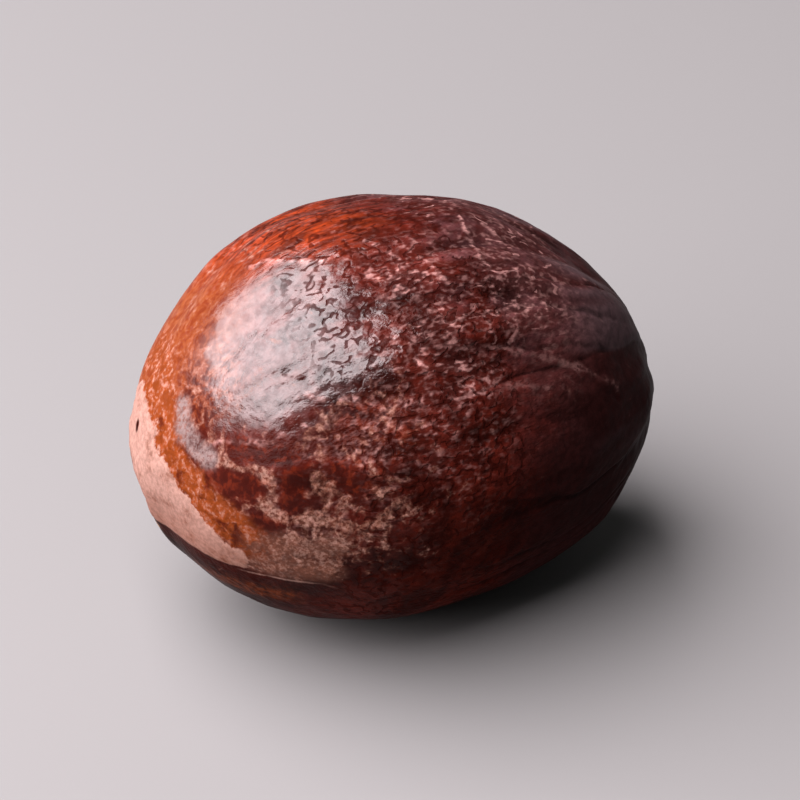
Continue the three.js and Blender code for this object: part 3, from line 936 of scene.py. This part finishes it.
def wax_cover(f):
    """How thick the wax is: clouded on the shoulder, torn where the wrinkles start, and thin all round."""
    slant = f.math("MULTIPLY_ADD", f.math("ADD", f.along, 12.0), -0.45, f.upwards)
    slant = f.math("MULTIPLY_ADD", f.edge_noise, 2.0, slant)
    wax = f.math("MULTIPLY", f.step(slant, 3.6, 4.8, 0.08, 1.0), f.step(f.along, 3.0, -4.0, 0.05, 1.0))
    wax = f.math("MULTIPLY", wax, f.step(f.sideways, 3.5, -1.0, 0.3, 1.0))
    torn = f.noise(f.ragged, TEAR_SIZE, 3.0, 0.6)
    within = f.math("MULTIPLY_ADD", f.edge_noise, 3.0, f.inside(WAX_EDGE))
    within = f.math("MULTIPLY_ADD", f.math("SUBTRACT", torn, 0.5), 2.5, within)
    wax = f.math("MULTIPLY", wax, f.step(within, -0.6, 0.4, 0.25, 1.0))
    tears = f.math("ADD", torn, f.step(f.along, -2.0, -9.5, -0.20, 0.32))
    wax = f.math("MULTIPLY", wax, f.step(tears, 0.40, 0.56, 0.12, 1.0))
    wax = f.math("MULTIPLY", wax, f.step(f.noise(f.place, 0.5, 3.0, 0.65), 0.32, 0.62, 0.72, 1.0))
    wax = f.math("MULTIPLY", wax, f.mixed(f.creases, 1.0, 0.12))
    hidden = f.math("MAXIMUM", f.dull, f.math("MULTIPLY", f.rim, 0.6))
    return f.math("MULTIPLY", wax, f.mixed(hidden, 1.0, 0.2))


PAINTS = (
    amber_rim, painted_shoulder_highlight, dust_flecks_and_glints, film_marks, crease_shade_and_pools, lime_film, hilum_scar,
)


def shell_material(look):
    """The shell's colour, laid on in the order of PAINTS, its fine relief, and its coat of wax."""
    material = bpy.data.materials.new("nutmeg_shell")
    material.use_nodes = True
    tree = material.node_tree
    tree.nodes.clear()
    f = PaintFields(tree, tree.nodes.new("ShaderNodeTexCoord").outputs["Object"])
    colour = bare_shell(f, look)
    for paint in PAINTS:
        colour = paint(f, look, colour)

    bump = f.node("ShaderNodeBump")
    f.feed(bump.inputs["Height"], fine_relief(f, look))
    f.feed(bump.inputs["Strength"], relief_strength(f))
    bump.inputs["Distance"].default_value = MM

    bare_roughness = f.mixed(f.dusk, BARE_ROUGHNESS, NARROW_ROUGHNESS)
    roughness = f.mixed(f.dull, bare_roughness, DULL_ROUGHNESS)
    wax = wax_cover(f)

    surface = f.node("ShaderNodeBsdfPrincipled")
    f.feed(surface.inputs["Base Color"], colour)
    f.feed(surface.inputs["Roughness"], roughness)
    f.feed(surface.inputs["Normal"], bump.outputs[0])
    f.feed(surface.inputs["Coat Weight"], wax)
    f.feed(surface.inputs["Coat Normal"], bump.outputs[0])
    surface.inputs["Specular IOR Level"].default_value = 0.005
    surface.inputs["Coat IOR"].default_value = 1.70
    surface.inputs["Coat Roughness"].default_value = 0.24
    ending = f.node("ShaderNodeOutputMaterial")
    f.feed(ending.inputs["Surface"], surface.outputs[0])
    return material


def dress(piece):
    """Ties a finished piece to the frame."""
    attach(piece, "root")


class NUTMEG_OT_build_shell(bpy.types.Operator):
    """Build the seed's shell, with its wrinkles, folds, scar and lime film"""

    bl_idname = "nutmeg.build_shell"
    bl_label = "Build Shell"

    def execute(self, context):
        look = context.scene.nutmeg_shell
        tree = shell_tree(shell_material(look))
        sizes = {label: getattr(look, setting) for label, setting in SHELL_SIZES.items()}
        shell = baked_piece("shell", merged_copy(SEED_NODE), tree, sizes)
        dress(shell)
        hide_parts(SEED_NODE)
        return {"FINISHED"}


def camera_axes(azimuth, elevation):
    """The camera's right, its up and the way back to it. Azimuth 0 looks along +Y."""
    back = Vector(
        (
            math.sin(azimuth) * math.cos(elevation),
            -math.cos(azimuth) * math.cos(elevation),
            math.sin(elevation),
        )
    )
    right = Vector((math.cos(azimuth), math.sin(azimuth), 0))
    return right, back.cross(right), back


class NUTMEG_OT_set_stage(bpy.types.Operator):
    """Set the floor, the light and the camera"""

    bl_idname = "nutmeg.set_stage"
    bl_label = "Set Stage"

    def execute(self, context):
        stage = context.scene.nutmeg_stage
        self.lay_floor(stage)
        self.hang_lights(stage)
        self.light_sky()
        self.place_camera(stage)
        context.scene.view_settings.view_transform = "Standard"
        return {"FINISHED"}

    def lay_floor(self, stage):
        bpy.ops.mesh.primitive_circle_add(vertices=FLOOR_SIDES, radius=FLOOR_RADIUS, fill_type="TRIFAN")
        floor = bpy.context.object
        floor.name = "floor"
        material = bpy.data.materials.new("pale_floor")
        material.use_nodes = True
        surface = material.node_tree.nodes["Principled BSDF"]
        surface.inputs["Base Color"].default_value = stage.floor
        surface.inputs["Roughness"].default_value = FLOOR_ROUGHNESS
        floor.data.materials.append(material)

    def hang_lights(self, stage):
        right, up, back = camera_axes(stage.azimuth, stage.elevation)
        for name, way, size, share, colour in LIGHTS:
            lamp = bpy.data.lights.new(name, "AREA")
            lamp.shape = "RECTANGLE"
            lamp.size, lamp.size_y = size
            lamp.energy = share * stage.key_power
            lamp.color = colour
            towards = (right * way[0] + up * way[1] + back * way[2]).normalized()
            shown = bpy.data.objects.new(name, lamp)
            shown.location = SEED_MIDDLE + towards * LIGHT_DISTANCE
            shown.rotation_euler = towards.to_track_quat("Z", "Y").to_euler()
            bpy.context.scene.collection.objects.link(shown)

    def light_sky(self):
        world = bpy.data.worlds.new("studio")
        world.use_nodes = True
        sky = world.node_tree.nodes["Background"]
        sky.inputs["Color"].default_value = SKY_COLOUR
        sky.inputs["Strength"].default_value = SKY_STRENGTH
        bpy.context.scene.world = world

    def place_camera(self, stage):
        back = camera_axes(stage.azimuth, stage.elevation)[2]
        camera = bpy.data.cameras.new("camera")
        camera.lens = stage.lens
        distance = SEED_SIZE.x / stage.frame_share * stage.lens / camera.sensor_width
        shown = bpy.data.objects.new("camera", camera)
        shown.location = SEED_MIDDLE + back * distance
        shown.rotation_euler = back.to_track_quat("Z", "Y").to_euler()
        bpy.context.scene.collection.objects.link(shown)
        bpy.context.scene.camera = shown


class NUTMEG_PT_panel(bpy.types.Panel):
    """Lists the nutmeg's operators"""

    bl_idname = "NUTMEG_PT_panel"
    bl_label = "Whole Nutmeg"
    bl_space_type = "VIEW_3D"
    bl_region_type = "UI"
    bl_category = "Nutmeg"

    def draw(self, context):
        for operator in OPERATORS:
            self.layout.operator(operator.bl_idname)


OPERATORS = (NUTMEG_OT_set_stage, NUTMEG_OT_build_shell)
GROUPS = {
    "nutmeg_shell": NutmegShellSettings,
    "nutmeg_stage": NutmegStageSettings,
}


def register():
    for made in (*GROUPS.values(), *OPERATORS, NUTMEG_PT_panel):
        bpy.utils.register_class(made)
    for name, group in GROUPS.items():
        setattr(bpy.types.Scene, name, bpy.props.PointerProperty(type=group))


def unregister():
    for name in GROUPS:
        delattr(bpy.types.Scene, name)
    for made in reversed((*GROUPS.values(), *OPERATORS, NUTMEG_PT_panel)):
        bpy.utils.unregister_class(made)


def main():
    register()
    bpy.ops.nutmeg.set_stage()
    bpy.ops.nutmeg.build_shell()


if __name__ == "__main__":
    main()
